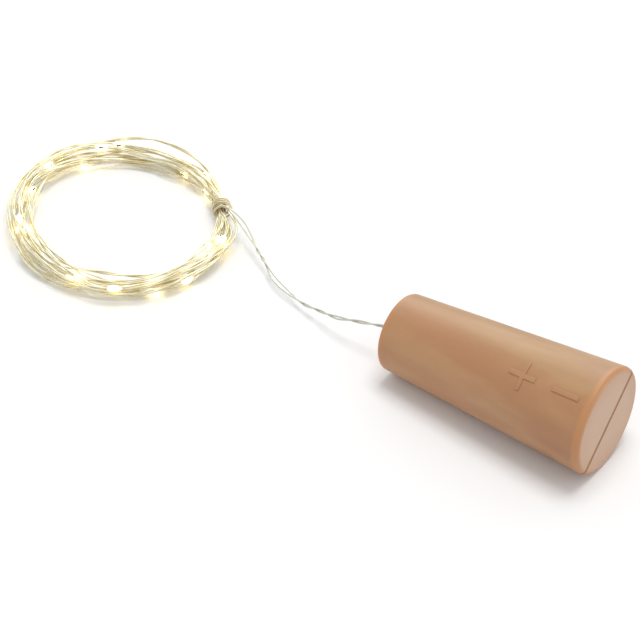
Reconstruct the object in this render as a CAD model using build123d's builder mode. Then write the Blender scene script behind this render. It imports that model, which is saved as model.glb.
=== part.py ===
from build123d import *

import os
from math import atan, cos, degrees, dist, hypot, pi, radians, sin, sqrt, tan

# A light for the neck of a bottle: a battery case shaped like a tapered cork, lying on its
# side, and a thin twin wire with small lights, wound in a tied oval coil beside it.
# Millimetres and degrees, +Z up, the floor at Z = 0, the case's long axis along X.

# Case
cork_length = 49.9
small_end_radius = 8.6
large_end_radius = 11.5
small_rim_radius = 0.75
large_rim_radius = 1.05
wall = 1.6
small_end_wall = 2.0
large_end_wall = 1.8
wire_hole_diameter = 1.5

# Seam between the housing and its sliding battery cover
seam_offset = 0.42
seam_roll = 41.4
seam_gap = 0.22
running_gap = 0.12
fit_gap = 0.05
overrun = 1.0

# Battery bay
cell_count = 3
cell_diameter = 11.6
cell_height = 5.4
contact_thickness = 0.3
contact_width = 7.0
contact_height = 8.0
spring_length = 5.9
spring_diameter = 5.0
spring_wire = 0.45
spring_turns = 3
partition_thickness = 1.4
strip_width = 2.4
strip_clearance = 0.5
cradle_clearance = 0.2
cradle_width = 1.0

# Electronics
board_thickness = 1.0
board_width = 11.2
board_ledge = 1.0
switch_length = 8.5
switch_width = 3.6
switch_height = 3.1
switch_base_thickness = 0.4
switch_metal = 0.3
switch_clearance = 0.17
switch_place_share = 0.587
slider_travel = 2.0
knob_length = 2.0
knob_width = 1.5
knob_proud = 0.7
pin_pitch = 2.5
pin_diameter = 0.6
solder_height = 0.5
solder_diameter = 1.6
lead_diameter = 0.6

# String of lights
cord_diameter = 0.9
bare_wire_diameter = 0.45
light_count = 20
first_light = 20.0
string_tail = 10.0
bead_diameter = 1.7
bead_length = 4.2
bead_bore_gap = 0.08
chip_length = 1.0
chip_width = 0.5
chip_height = 0.3

# Coil and its tie
coil_length_radius = 28.0
coil_width_radius = 22.9
coil_roll = -20.0
coil_centre = Vector(-106.0, -0.4)
coil_turns = 11.5
turns_per_layer = 3
layer_count = 4
layer_pitch = 1.38
tied_pitch = 1.44
loose_pitch = 2.1
tie_bearing = 42.0
tie_turns = 1.75
tie_pitch = 1.4
tie_clearance = 0.12
rest_gap = 0.02

# The case leans by its own taper, so that its lower line lies on the floor
taper = degrees(atan((large_end_radius - small_end_radius) / cork_length))
lean_cos = cos(radians(taper))
lean_sin = sin(radians(taper))
axis_direction = Vector(lean_cos, 0, lean_sin)
leaning_up = Vector(-lean_sin, 0, lean_cos)
seam_direction = Vector(0, cos(radians(seam_roll)), 0) + leaning_up * sin(radians(seam_roll))

# The middle of the case's own box stands over the origin
small_end_reach = small_rim_radius * (lean_cos - 1) - (small_end_radius - small_rim_radius) * lean_sin
large_end_reach = (
    (cork_length - large_rim_radius) * lean_cos
    + (large_end_radius - large_rim_radius) * lean_sin
    + large_rim_radius
)
case_start = Vector(-(small_end_reach + large_end_reach) / 2, 0, small_end_radius * lean_cos)

# Three views of the case: X across along the seam, Y up out of the seam and Z along its axis;
# X along the axis and Y along the seam; X along the axis and Y up out of the seam
case = Plane(origin=case_start, x_dir=seam_direction, z_dir=axis_direction)
seam_view = Plane(origin=case_start, x_dir=case.z_dir, z_dir=case.y_dir)
side_view = Plane(origin=case_start, x_dir=case.z_dir, z_dir=-case.x_dir)
case_axis = Axis(case_start, case.z_dir)

# Places along the case's axis, measured from the small end
large_wall_face = cork_length - large_end_wall
negative_start = large_wall_face - contact_thickness
cell_end = negative_start - spring_length
cell_start = cell_end - cell_count * cell_height
bay_start = cell_start - contact_thickness
partition_start = bay_start - partition_thickness
cover_start = bay_start + seam_gap

switch_middle = small_end_wall + switch_place_share * (partition_start - small_end_wall)
frame_start = switch_middle - switch_length / 2
frame_end = switch_middle + switch_length / 2


def outside_radius(place):
    """Gives the case's outer radius at a place along its axis."""
    return small_end_radius + (large_end_radius - small_end_radius) * place / cork_length


def bore_radius(place):
    """Gives the radius of the case's hollow at a place along its axis."""
    return outside_radius(place) - wall


# Levels across the case, measured from its axis: the switch lies as low as the bore lets it
frame_side = switch_width / 2
seam_level = -seam_offset
switch_roof = -sqrt((bore_radius(frame_start) - switch_clearance) ** 2 - frame_side**2)
switch_rim = switch_roof + switch_height
board_bottom = switch_rim + switch_base_thickness
board_top = board_bottom + board_thickness
cell_radius = cell_diameter / 2
cradle_radius = cell_radius + cradle_clearance
strip_level = cell_radius + strip_clearance
case_reach = large_end_radius + overrun

os.makedirs("parts", exist_ok=True)


def in_case(across, up, place):
    """Gives the point at a place across the seam, up from it and along the case's axis."""
    return case.from_local_coords((across, up, place))


def block(across, up, along, mode=Mode.ADD):
    """Adds or cuts a block between two places across, up and along the case."""
    with BuildSketch(case.offset(along[0])) as outline:
        with Locations(((across[0] + across[1]) / 2, (up[0] + up[1]) / 2)):
            Rectangle(abs(across[1] - across[0]), abs(up[1] - up[0]))
    extrude(outline.sketch, amount=along[1] - along[0], mode=mode)


def turned(points, mode=Mode.ADD):
    """Adds or cuts a shape turned about the case's axis, from places along it and radii."""
    with BuildSketch(seam_view) as outline:
        with BuildLine():
            Polyline(*points, close=True)
        make_face()
    revolve(outline.sketch, axis=case_axis, mode=mode)


def tube(path, diameter):
    """Sweeps a round wire along a path."""
    with BuildSketch(Plane(origin=path @ 0, z_dir=path % 0)) as section:
        Circle(diameter / 2)
    sweep(section.sketch, path=path)


def export(piece, name):
    """Labels a finished piece and writes its file."""
    piece.part.label = name
    export_step(piece.part, f"parts/{name}.step")


# Outer form of the whole case, with its rounded rims
with BuildPart() as cork_form:
    with BuildSketch(seam_view) as cork_outline:
        with BuildLine():
            Polyline(
                (0, 0),
                (0, small_end_radius),
                (cork_length, large_end_radius),
                (cork_length, 0),
                close=True,
            )
        make_face()
        fillet(cork_outline.vertices().sort_by(Axis.Y)[-1], large_rim_radius)
        small_corner = cork_outline.vertices().sort_by_distance((0, small_end_radius))[0]
        fillet(small_corner, small_rim_radius)
    revolve(axis=case_axis)

# The same form made hollow, from which the housing and the cover are cut
with BuildPart() as shell:
    add(cork_form.part)
    turned(
        (
            (small_end_wall, 0),
            (small_end_wall, bore_radius(small_end_wall)),
            (large_wall_face, bore_radius(large_wall_face)),
            (large_wall_face, 0),
        ),
        Mode.SUBTRACT,
    )

# Plain raised marks on the housing and grip ribs on the cover stand on this thin skin
mark_height = 0.22
mark_root = 0.5
mark_edge = 0.12
mark_stroke = 1.0
mark_size = 6.0
mark_across = 0.9
plus_place = 33.9
minus_place = 43.8
rib_count = 5
rib_pitch = 1.7
rib_width = 0.8
rib_length = 7.0
rib_place = 41.0

skin_points = (
    (bay_start, outside_radius(bay_start) - mark_root),
    (bay_start, outside_radius(bay_start) + mark_height),
    (large_wall_face, outside_radius(large_wall_face) + mark_height),
    (large_wall_face, outside_radius(large_wall_face) - mark_root),
)


def outer_edges(marks):
    """Picks the edges round the outer faces of raised marks."""
    middle = case_axis.position
    top = [
        face
        for face in marks.faces()
        if face.geom_type == GeomType.CONE and face.normal_at().dot(face.center() - middle) > 0
    ]
    return ShapeList(top).edges()


with BuildPart() as raised_marks:
    turned(skin_points)
    with BuildSketch(seam_view):
        with Locations((plus_place, mark_across)):
            Rectangle(mark_size, mark_stroke)
            Rectangle(mark_stroke, mark_size)
        with Locations((minus_place, mark_across)):
            Rectangle(mark_size, mark_stroke)
    extrude(amount=case_reach, mode=Mode.INTERSECT)
    fillet(outer_edges(raised_marks), mark_edge)

with BuildPart() as grip_ribs:
    turned(skin_points)
    with BuildSketch(seam_view):
        with Locations((rib_place, 0)):
            with GridLocations(rib_pitch, 0, rib_count, 1):
                Rectangle(rib_width, rib_length)
    extrude(amount=-case_reach, mode=Mode.INTERSECT)
    fillet(outer_edges(grip_ribs), mark_edge)

# Rails: hooks of the housing hold the edges of the cover, which slides along them
ledge_inside = cell_radius + 3 * running_gap
ledge_thickness = 1.2
hook_web = 0.7
hook_drop = 1.6
hook_thickness = 0.7
hook_reach = 0.8
flange_thickness = 0.65
rail_margin = 1.2
rail_reach = outside_radius(bay_start) - running_gap
rail_start = bay_start + rail_margin
rail_end = large_wall_face - rail_margin
hook_inside = ledge_inside + hook_web
ledge_length = partition_start - small_end_wall - board_ledge
ledge_width = 2.6
stop_width = 3.0
stop_depth = 1.2
slot_margin = 0.35
knob_rest = switch_middle - slider_travel / 2
knob_run = (
    knob_rest - knob_length / 2 - slot_margin,
    knob_rest + knob_length / 2 + slider_travel + slot_margin,
)

# Housing: a full ring at the small end, then the half of the case that carries the cells
with BuildPart() as housing:
    add(shell.part)
    block(
        (-case_reach, case_reach),
        (-case_reach, seam_level),
        (bay_start, cork_length + overrun),
        Mode.SUBTRACT,
    )
    for side in (-1, 1):
        block(
            (side * ledge_inside, side * rail_reach),
            (seam_level, seam_level + ledge_thickness),
            (bay_start, large_wall_face),
        )
        block(
            (side * ledge_inside, side * hook_inside),
            (seam_level - hook_drop, seam_level),
            (rail_start, rail_end),
        )
        block(
            (side * hook_inside, side * (hook_inside + hook_reach)),
            (seam_level - hook_drop, seam_level - hook_drop + hook_thickness),
            (rail_start, rail_end),
        )
        board_side = side * (board_width / 2 - board_ledge)
        block(
            (board_side, board_side + side * ledge_width),
            (board_bottom - ledge_thickness, board_bottom),
            (small_end_wall, small_end_wall + ledge_length),
        )
        stop_side = side * (bore_radius(partition_start) - stop_depth)
        block(
            (stop_side, side * rail_reach),
            (-stop_width / 2, stop_width / 2),
            (partition_start - cradle_width, partition_start),
        )
    for number in range(cell_count):
        cradle_place = cell_start + (number + 0.5) * cell_height - cradle_width / 2
        with BuildSketch(case.offset(cradle_place)) as cradle:
            Circle(bore_radius(cradle_place) + wall / 2)
            Circle(cradle_radius, mode=Mode.SUBTRACT)
            with Locations((0, seam_level + case_reach / 2)):
                Rectangle(2 * case_reach, case_reach, mode=Mode.INTERSECT)
            with Locations((0, strip_level)):
                Rectangle(strip_width + 2 * fit_gap, 2 * strip_clearance, mode=Mode.SUBTRACT)
        extrude(cradle.sketch, amount=cradle_width)
    with BuildSketch(case.offset(-overrun)):
        Circle(wire_hole_diameter / 2)
    extrude(amount=small_end_wall + 2 * overrun, mode=Mode.SUBTRACT)
    block(
        (-knob_width / 2 - slot_margin, knob_width / 2 + slot_margin),
        (-case_reach, switch_roof),
        knob_run,
        Mode.SUBTRACT,
    )
    add(cork_form.part, mode=Mode.INTERSECT)
    add(raised_marks.part)
export(housing, "housing")

# Battery cover: the other half of the large end, with a flange along each edge
with BuildPart() as battery_cover:
    add(shell.part)
    cover_top = seam_level - seam_gap
    block(
        (-case_reach, case_reach),
        (cover_top, case_reach),
        (-overrun, cork_length + overrun),
        Mode.SUBTRACT,
    )
    block(
        (-case_reach, case_reach),
        (-case_reach, case_reach),
        (-overrun, cover_start),
        Mode.SUBTRACT,
    )
    for side in (-1, 1):
        block(
            (side * (hook_inside + running_gap), side * rail_reach),
            (cover_top - flange_thickness, cover_top),
            (cover_start, rail_end),
        )
    add(cork_form.part, mode=Mode.INTERSECT)
    add(grip_ribs.part)
export(battery_cover, "battery_cover")

# Partition between the electronics and the cells, pressed in against two stops
lead_hole_diameter = lead_diameter + 4 * running_gap
positive_across = -contact_width / 4
positive_up = contact_height / 4
with BuildPart() as partition_plate:
    with BuildSketch(case.offset(partition_start)):
        Circle(bore_radius(partition_start) - fit_gap)
        with Locations((0, strip_level + case_reach / 2 - strip_clearance / 2)):
            Rectangle(strip_width + strip_clearance, case_reach, mode=Mode.SUBTRACT)
        with Locations((positive_across, positive_up)):
            Circle(lead_hole_diameter / 2, mode=Mode.SUBTRACT)
    extrude(amount=partition_thickness)
export(partition_plate, "partition_plate")

# Contact plates: the positive one lies on the partition, the negative one on the end wall
# with a strip that runs back over the cells into the electronics bay
strip_tail = 4.0
with BuildPart() as positive_contact:
    with BuildSketch(case.offset(bay_start)) as positive_outline:
        Rectangle(contact_width, contact_height)
        fillet(positive_outline.vertices(), cradle_width)
    extrude(amount=contact_thickness)
export(positive_contact, "positive_contact")

strip_start = partition_start - strip_tail
with BuildPart() as negative_contact:
    with BuildSketch(case.offset(negative_start)) as negative_outline:
        Rectangle(contact_width, contact_height)
        fillet(negative_outline.vertices(), cradle_width)
        with Locations((0, (strip_level + contact_thickness) / 2)):
            Rectangle(strip_width, strip_level + contact_thickness)
    extrude(amount=contact_thickness)
    block(
        (-strip_width / 2, strip_width / 2),
        (strip_level, strip_level + contact_thickness),
        (strip_start, negative_start + contact_thickness),
    )
export(negative_contact, "negative_contact")

# Button cells: each has a can, a sealing ring and a cap, and its can faces the partition
can_metal = 0.25
can_lip = 0.75
cap_proud = 0.2
cap_radius = 4.7
for number in range(cell_count):
    bottom = cell_start + number * cell_height
    inside_bottom = bottom + can_metal
    lip_top = bottom + cell_height - cap_proud
    lip_bottom = lip_top - can_metal
    with BuildPart() as can:
        turned(
            (
                (bottom, 0),
                (bottom, cell_radius),
                (lip_top, cell_radius),
                (lip_top, cell_radius - can_lip),
                (lip_bottom, cell_radius - can_lip),
                (lip_bottom, cell_radius - can_metal),
                (inside_bottom, cell_radius - can_metal),
                (inside_bottom, 0),
            )
        )
    export(can, f"cell_{number + 1}_can")
    with BuildPart() as gasket:
        turned(
            (
                (inside_bottom, cap_radius + fit_gap),
                (inside_bottom, cell_radius - can_metal - fit_gap),
                (lip_bottom, cell_radius - can_metal - fit_gap),
                (lip_bottom, cell_radius - can_lip - fit_gap),
                (lip_top, cell_radius - can_lip - fit_gap),
                (lip_top, cap_radius + fit_gap),
            )
        )
    export(gasket, f"cell_{number + 1}_gasket")
    with BuildPart() as cap:
        turned(
            (
                (inside_bottom, 0),
                (inside_bottom, cap_radius),
                (lip_top, cap_radius),
                (bottom + cell_height, cap_radius - cap_proud),
                (bottom + cell_height, 0),
            )
        )
    export(cap, f"cell_{number + 1}_cap")


def biarcs(points, directions):
    """Joins points by pairs of arcs that leave and arrive in the given directions."""
    arcs = []
    for start, end, leaving, arriving in zip(points, points[1:], directions, directions[1:]):
        chord = end - start
        both = leaving + arriving
        spread = 2 * (1 - leaving.dot(arriving))
        forward = chord.dot(both)
        handle = (sqrt(forward**2 + spread * chord.dot(chord)) - forward) / spread
        first_corner = start + leaving * handle
        next_corner = end - arriving * handle
        middle = (first_corner + next_corner) / 2
        arcs.append(TangentArc(start, middle, tangent=leaving))
        arcs.append(TangentArc(middle, end, tangent=next_corner - first_corner))
    return arcs


def heading(route, turns):
    """Gives the direction of a wound route at a number of turns."""
    step = 0.001
    return (route(turns + step) - route(turns - step)).normalized()


# Contact spring: an open coil between the last cell's cap and the negative plate
spring_radius = (spring_diameter - spring_wire) / 2
spring_bend = 0.17
spring_rise = 1.3


def spring_place(turns):
    """Gives the spring's wire centre after a number of turns."""
    lift = (turns - spring_bend) / spring_turns * (spring_length - 2 * spring_rise)
    angle = radians(360 * turns)
    place = cell_end + spring_rise + lift
    return in_case(spring_radius * cos(angle), spring_radius * sin(angle), place)


with BuildPart() as contact_spring:
    spring_end_turn = spring_turns + 2 * spring_bend
    end_angle = radians(360 * spring_end_turn)
    end_across = spring_radius * cos(end_angle)
    end_up = spring_radius * sin(end_angle)
    bend_turns = [spring_bend + quarter / 4 for quarter in range(4 * spring_turns + 1)]
    spring_points = [in_case(spring_radius, 0, cell_end + spring_wire)]
    spring_points += [spring_place(turns) for turns in bend_turns]
    spring_points += [in_case(end_across, end_up, negative_start - spring_wire)]
    spring_headings = [case.z_dir]
    spring_headings += [heading(spring_place, turns) for turns in bend_turns]
    spring_headings += [case.z_dir]
    with BuildLine() as spring_line:
        Line(in_case(spring_radius, 0, cell_end), spring_points[0])
        biarcs(spring_points, spring_headings)
        Line(spring_points[-1], in_case(end_across, end_up, negative_start))
    tube(spring_line.line, spring_wire)
export(contact_spring, "contact_spring")

# Circuit board, resting on the ring's two ledges, behind the glue plug of the string
plug_length = 4.0
plug_radius = -board_top - running_gap
plug_end = small_end_wall + plug_length
string_run = 1.0
board_start = small_end_wall + 2.5 * board_ledge
board_end = partition_start - 1.6 * board_ledge
lead_run = 2.0
lead_margin = 2.6
positive_lead_place = bay_start - 2.37 * lead_run
negative_lead_place = board_end - lead_margin
string_place = plug_end + 2.3 * string_run
lead_across = 3.4
string_across = 1.75
pin_places = [switch_middle + step * pin_pitch for step in (-1, 0, 1)]
pad_places = [
    (-lead_across, positive_lead_place),
    (lead_across, negative_lead_place),
    (-string_across, string_place),
    (string_across, string_place),
]


def solder(across, place, bore=0):
    """Adds a small cone of solder on the board, with a bore where a pin stands in it."""
    outline = Plane(origin=in_case(across, board_top, place), x_dir=case.x_dir, z_dir=case.y_dir)
    with BuildSketch(outline) as foot:
        Circle(solder_diameter / 2)
    with BuildSketch(outline.offset(solder_height)) as top:
        Circle(solder_diameter / 3)
    loft([foot.sketch, top.sketch])
    if bore:
        with BuildSketch(outline) as hole:
            Circle(bore / 2)
        extrude(hole.sketch, amount=solder_height, mode=Mode.SUBTRACT)


with BuildPart() as circuit_board:
    block(
        (-board_width / 2, board_width / 2),
        (board_bottom, board_top),
        (board_start, board_end),
    )
    board_face = Plane(origin=in_case(0, board_bottom, 0), x_dir=case.z_dir, z_dir=case.y_dir)
    with BuildSketch(board_face):
        with Locations(*[(place, 0) for place in pin_places]):
            Circle(pin_diameter / 2 + fit_gap)
    extrude(amount=board_thickness, mode=Mode.SUBTRACT)
export(circuit_board, "circuit_board")

with BuildPart() as solder_joints:
    for across, place in pad_places:
        solder(across, place)
    for place in pin_places:
        solder(0, place, pin_diameter + fit_gap)
export(solder_joints, "solder_joints")

# Resistor, flat on the board
resistor_length = 3.2
resistor_width = 1.6
resistor_height = 0.6
resistor_cap = 0.45
resistor_across = 3.4
resistor_place = (board_start + negative_lead_place - solder_diameter / 2) / 2
resistor_start = resistor_place - resistor_length / 2
resistor_end = resistor_place + resistor_length / 2
resistor_sides = (resistor_across - resistor_width / 2, resistor_across + resistor_width / 2)
with BuildPart() as resistor_body:
    block(
        resistor_sides,
        (board_top, board_top + resistor_height),
        (resistor_start + resistor_cap, resistor_end - resistor_cap),
    )
export(resistor_body, "resistor_body")

with BuildPart() as resistor_terminals:
    for start in (resistor_start, resistor_end - resistor_cap):
        block(
            resistor_sides,
            (board_top, board_top + resistor_height + fit_gap),
            (start, start + resistor_cap),
        )
export(resistor_terminals, "resistor_terminals")

# Slide switch under the board: metal frame, base with three pins, slider with its wiper
slider_length = 4.8
slider_side = frame_side - switch_metal - running_gap
slider_top = switch_roof + switch_metal + running_gap
slider_depth = 1.7
slider_bottom = slider_top + slider_depth
pin_head = 0.2
with BuildPart() as switch_frame:
    block((-frame_side, frame_side), (switch_roof, switch_rim), (frame_start, frame_end))
    block(
        (switch_metal - frame_side, frame_side - switch_metal),
        (switch_roof + switch_metal, switch_rim),
        (frame_start + switch_metal, frame_end - switch_metal),
        Mode.SUBTRACT,
    )
    block(
        (-knob_width / 2 - running_gap, knob_width / 2 + running_gap),
        (switch_roof, switch_roof + switch_metal),
        (knob_run[0] + running_gap, knob_run[1] - running_gap),
        Mode.SUBTRACT,
    )
export(switch_frame, "switch_frame")

base_face = Plane(origin=in_case(0, switch_rim, 0), x_dir=case.z_dir, z_dir=case.y_dir)
with BuildPart() as switch_base:
    block((-frame_side, frame_side), (switch_rim, board_bottom), (frame_start, frame_end))
    with BuildSketch(base_face):
        with Locations(*[(place, 0) for place in pin_places]):
            Circle(pin_diameter / 2 + fit_gap)
    extrude(amount=switch_base_thickness, mode=Mode.SUBTRACT)
export(switch_base, "switch_base")

with BuildPart() as switch_terminals:
    with BuildSketch(base_face):
        with Locations(*[(place, 0) for place in pin_places]):
            Circle(pin_diameter / 2)
    extrude(amount=switch_base_thickness + board_thickness + solder_height)
    with BuildSketch(base_face):
        with Locations(*[(place, 0) for place in pin_places]):
            Circle(pin_diameter)
    extrude(amount=-pin_head)
export(switch_terminals, "switch_terminals")

knob_top = outside_radius(switch_middle) + knob_proud
with BuildPart() as switch_slider:
    block(
        (-slider_side, slider_side),
        (slider_top, slider_bottom),
        (knob_rest - slider_length / 2, knob_rest + slider_length / 2),
    )
    block(
        (-knob_width / 2, knob_width / 2),
        (-knob_top, slider_top),
        (knob_rest - knob_length / 2, knob_rest + knob_length / 2),
    )
export(switch_slider, "switch_slider")

wiper_thickness = 0.15
wiper_width = 1.0
wiper_reach = slider_length / 2 - fit_gap
foot_width = 0.3
foot_top = slider_bottom + wiper_thickness
foot_tip = switch_rim - pin_head - running_gap
with BuildPart() as switch_wiper:
    block(
        (-wiper_width / 2, wiper_width / 2),
        (slider_bottom, foot_top),
        (knob_rest - wiper_reach, knob_rest + wiper_reach),
    )
    with BuildSketch(side_view.offset(-wiper_width / 2)):
        for foot_place in (knob_rest - pin_pitch / 2, knob_rest + pin_pitch / 2):
            with BuildLine():
                Polyline(
                    (foot_place - foot_width, foot_top),
                    (foot_place, foot_tip),
                    (foot_place + foot_width, foot_top),
                    close=True,
                )
            make_face()
    extrude(amount=wiper_width)
export(switch_wiper, "switch_wiper")

# Glue plug that holds the string behind the small end's wall
with BuildPart() as strain_relief:
    turned(
        (
            (small_end_wall, 0),
            (small_end_wall, plug_radius),
            (small_end_wall + plug_length / 2, plug_radius),
            (plug_end, plug_radius / 2),
            (plug_end, 0),
        )
    )
export(strain_relief, "strain_relief")

# Each bend of a wire's route is as round as its two runs allow
run_share = 0.45


def corner_radii(points):
    """Gives the arc radius at each corner of a route."""
    radii = []
    for before, corner, after in zip(points, points[1:], points[2:]):
        first_run = corner - before
        next_run = after - corner
        half_turn = radians(first_run.get_angle(next_run)) / 2
        radii.append(run_share * min(first_run.length, next_run.length) / tan(half_turn))
    return radii


def routed_tube(points, diameter, name):
    """Sweeps a wire along straight runs joined by arcs, and prints its bends and volume."""
    radii = corner_radii(points)
    with BuildLine(mode=Mode.PRIVATE) as route:
        FilletPolyline(*points, radius=radii)
    tube(route.line, diameter)
    length = sum(edge.length for edge in route.edges())
    section = pi * diameter**2 / 4
    print(name, "length", round(length, 1), "tightest bends", sorted(round(r, 1) for r in radii)[:4])
    return section * length


# Leads inside the case
lead_start_place = strip_start + lead_diameter
with BuildPart() as positive_lead:
    positive_points = [
        in_case(positive_across, positive_up, bay_start),
        in_case(positive_across, positive_up, bay_start - lead_run),
        in_case(
            (positive_across - lead_across) / 2,
            positive_up - 0.5 * lead_run,
            bay_start - 1.87 * lead_run,
        ),
        in_case(-lead_across, positive_up - 1.37 * lead_run, positive_lead_place),
        in_case(-lead_across, board_top + solder_height, positive_lead_place),
    ]
    routed_tube(positive_points, lead_diameter, "positive_lead")
export(positive_lead, "positive_lead")

with BuildPart() as negative_lead:
    negative_points = [
        in_case(0, strip_level, lead_start_place),
        in_case(0, 0.73 * strip_level, lead_start_place),
        in_case(0.35 * lead_across, 0.38 * strip_level, lead_start_place - 0.2 * lead_run),
        in_case(0.85 * lead_across, 0.03 * strip_level, negative_lead_place + 0.15 * lead_run),
        in_case(lead_across, board_top + solder_height + 0.65 * lead_run, negative_lead_place),
        in_case(lead_across, board_top + solder_height, negative_lead_place),
    ]
    routed_tube(negative_points, lead_diameter, "negative_lead")
export(negative_lead, "negative_lead")

with BuildPart() as string_ends:
    for side in (-1, 1):
        end_points = [
            in_case(side * 0.4 * string_across, 0, plug_end),
            in_case(side * 0.4 * string_across, 0, plug_end + 0.9 * string_run),
            in_case(side * 0.7 * string_across, -0.5 * string_run, plug_end + 1.8 * string_run),
            in_case(side * string_across, -1.37 * string_run, string_place),
            in_case(side * string_across, board_top + solder_height, string_place),
        ]
        routed_tube(end_points, bare_wire_diameter, "string_ends")
export(string_ends, "string_ends")

# The bundle of turns is an oval that is drawn together at the tie and looser opposite it
bead_radius = bead_diameter / 2
tied_half_width = (turns_per_layer - 1) / 2 * tied_pitch
tied_half_height = (layer_count - 1) / 2 * layer_pitch
wrap_radius = hypot(tied_half_width, tied_half_height) + cord_diameter + tie_clearance
bundle_rest = bead_radius + rest_gap + tied_half_height
tie_height = wrap_radius + cord_diameter / 2 + rest_gap


def oval_radius(bearing):
    """Gives the distance of the bundle's middle from the coil's centre on a bearing."""
    turned_by = radians(bearing - coil_roll)
    return coil_length_radius * coil_width_radius / hypot(
        coil_width_radius * cos(turned_by), coil_length_radius * sin(turned_by)
    )


def coil_place(turns):
    """Gives the wire's centre after a number of turns from the tie."""
    bearing = tie_bearing + 360 * turns
    from_tie = (1 - cos(radians(360 * turns))) / 2
    wound = turns + 0.5
    fold = wound % (2 * turns_per_layer)
    inward = min(fold, 2 * turns_per_layer - fold)
    column = turns_per_layer / 2 - inward
    nearest_climb = round(wound / turns_per_layer)
    climb = wound - nearest_climb * turns_per_layer
    share = min(max(2 * climb + 0.5, 0), 1)
    layer = nearest_climb - 1 + share**2 * (3 - 2 * share)
    layer = min(max(layer, 0), layer_count - 1)
    pitch = tied_pitch + (loose_pitch - tied_pitch) * from_tie
    radius = oval_radius(bearing) + column * pitch
    middle_height = tie_height + (bundle_rest - tie_height) * from_tie
    height = middle_height + tied_half_height - layer * layer_pitch
    angle = radians(bearing)
    return Vector(
        coil_centre.X + radius * cos(angle),
        coil_centre.Y + radius * sin(angle),
        height,
    )


def least_gap(arcs, diameter, window):
    """Measures the least gap of a wound wire to itself, leaving out what lies within a window."""
    step = 0.5
    places = []
    reached = 0
    for arc in arcs:
        pieces = int(arc.length / step) + 1
        for piece in range(pieces):
            places.append((reached + arc.length * piece / pieces, tuple(arc @ (piece / pieces))))
        reached += arc.length
    nearest = min(
        dist(place, other)
        for number, (length, place) in enumerate(places)
        for other_length, other in places[number + 1 :]
        if other_length - length > window
    )
    return nearest - diameter


# Coil of the string, wound in layers that spiral in and out
coil_first = 0.045
quarters = int(4 * coil_turns)
coil_stops = [coil_first] + [quarter / 4 for quarter in range(1, quarters + 1)]
coil_points = [coil_place(turns) for turns in coil_stops]
coil_headings = [heading(coil_place, turns) for turns in coil_stops]
coil_start = coil_points[0] - coil_headings[0] * cord_diameter
coil_end = coil_points[-1] + coil_headings[-1] * cord_diameter
with BuildPart() as string_coil:
    with BuildLine() as coil_line:
        Line(coil_start, coil_points[0])
        coil_arcs = biarcs(coil_points, coil_headings)
        Line(coil_points[-1], coil_end)
    tube(coil_line.line, cord_diameter)
coil_length = sum(arc.length for arc in coil_arcs) + 2 * cord_diameter
print("coil length", round(coil_length, 1), "volume", round(string_coil.part.volume, 1))
print("section times length", round(pi * cord_diameter**2 / 4 * coil_length, 1))
print("coil least gap", round(least_gap(coil_arcs, cord_diameter, coil_width_radius), 3))
export(string_coil, "string_coil")

# Tie: the lead wraps the bundle before it becomes the coil's first turn
bundle_tangent = Vector(
    oval_radius(tie_bearing + 1) * cos(radians(tie_bearing + 1))
    - oval_radius(tie_bearing - 1) * cos(radians(tie_bearing - 1)),
    oval_radius(tie_bearing + 1) * sin(radians(tie_bearing + 1))
    - oval_radius(tie_bearing - 1) * sin(radians(tie_bearing - 1)),
    0,
).normalized()
bundle_outward = bundle_tangent.cross(Vector(0, 0, 1))
tie_centre = Vector(
    coil_centre.X + oval_radius(tie_bearing) * cos(radians(tie_bearing)),
    coil_centre.Y + oval_radius(tie_bearing) * sin(radians(tie_bearing)),
    tie_height,
)


def at_tie(outward, up, forward):
    """Gives a point out from the bundle, up and along it, seen from the tie's middle."""
    return tie_centre + bundle_outward * outward + Vector(0, 0, up) + bundle_tangent * forward


def tie_place(turns):
    """Gives the wrap's wire centre after a number of turns from the bundle's outer side."""
    angle = radians(360 * turns)
    forward = tie_pitch * (turns - 0.25 - tie_turns / 2)
    return at_tie(wrap_radius * cos(angle), wrap_radius * sin(angle), forward)


tie_stops = [0.25 + quarter / 4 for quarter in range(int(4 * tie_turns) + 1)]
tie_start = at_tie(1.05 * wrap_radius, 0.55 * wrap_radius, -1.45 * wrap_radius)

# Route of the free lead, from the plug's face to the tie
lead_points = [
    in_case(0, 0, small_end_wall),
    in_case(0, 0, -small_end_wall),
    Vector(-32.2, -1.0, 7.6),
    Vector(-36.3, -1.2, 6.4),
    Vector(-41.4, -1.4, 4.8),
    Vector(-46.6, -0.3, 3.4),
    Vector(-51.0, 0.2, 2.4),
    Vector(-55.2, 1.3, 1.9),
    Vector(-59.4, 2.4, 2.0),
    Vector(-63.1, 3.7, 2.0),
    Vector(-67.1, 6.2, 2.4),
    Vector(-71.4, 8.3, 3.2),
    Vector(-75.0, 10.2, 4.1),
    Vector(-79.3, 12.3, 5.1),
    tie_start,
]
with BuildPart() as string_lead:
    expected = routed_tube(lead_points, cord_diameter, "string_lead")
print("lead volume", round(string_lead.part.volume, 2), "expected", round(expected, 2))
export(string_lead, "string_lead")

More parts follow.
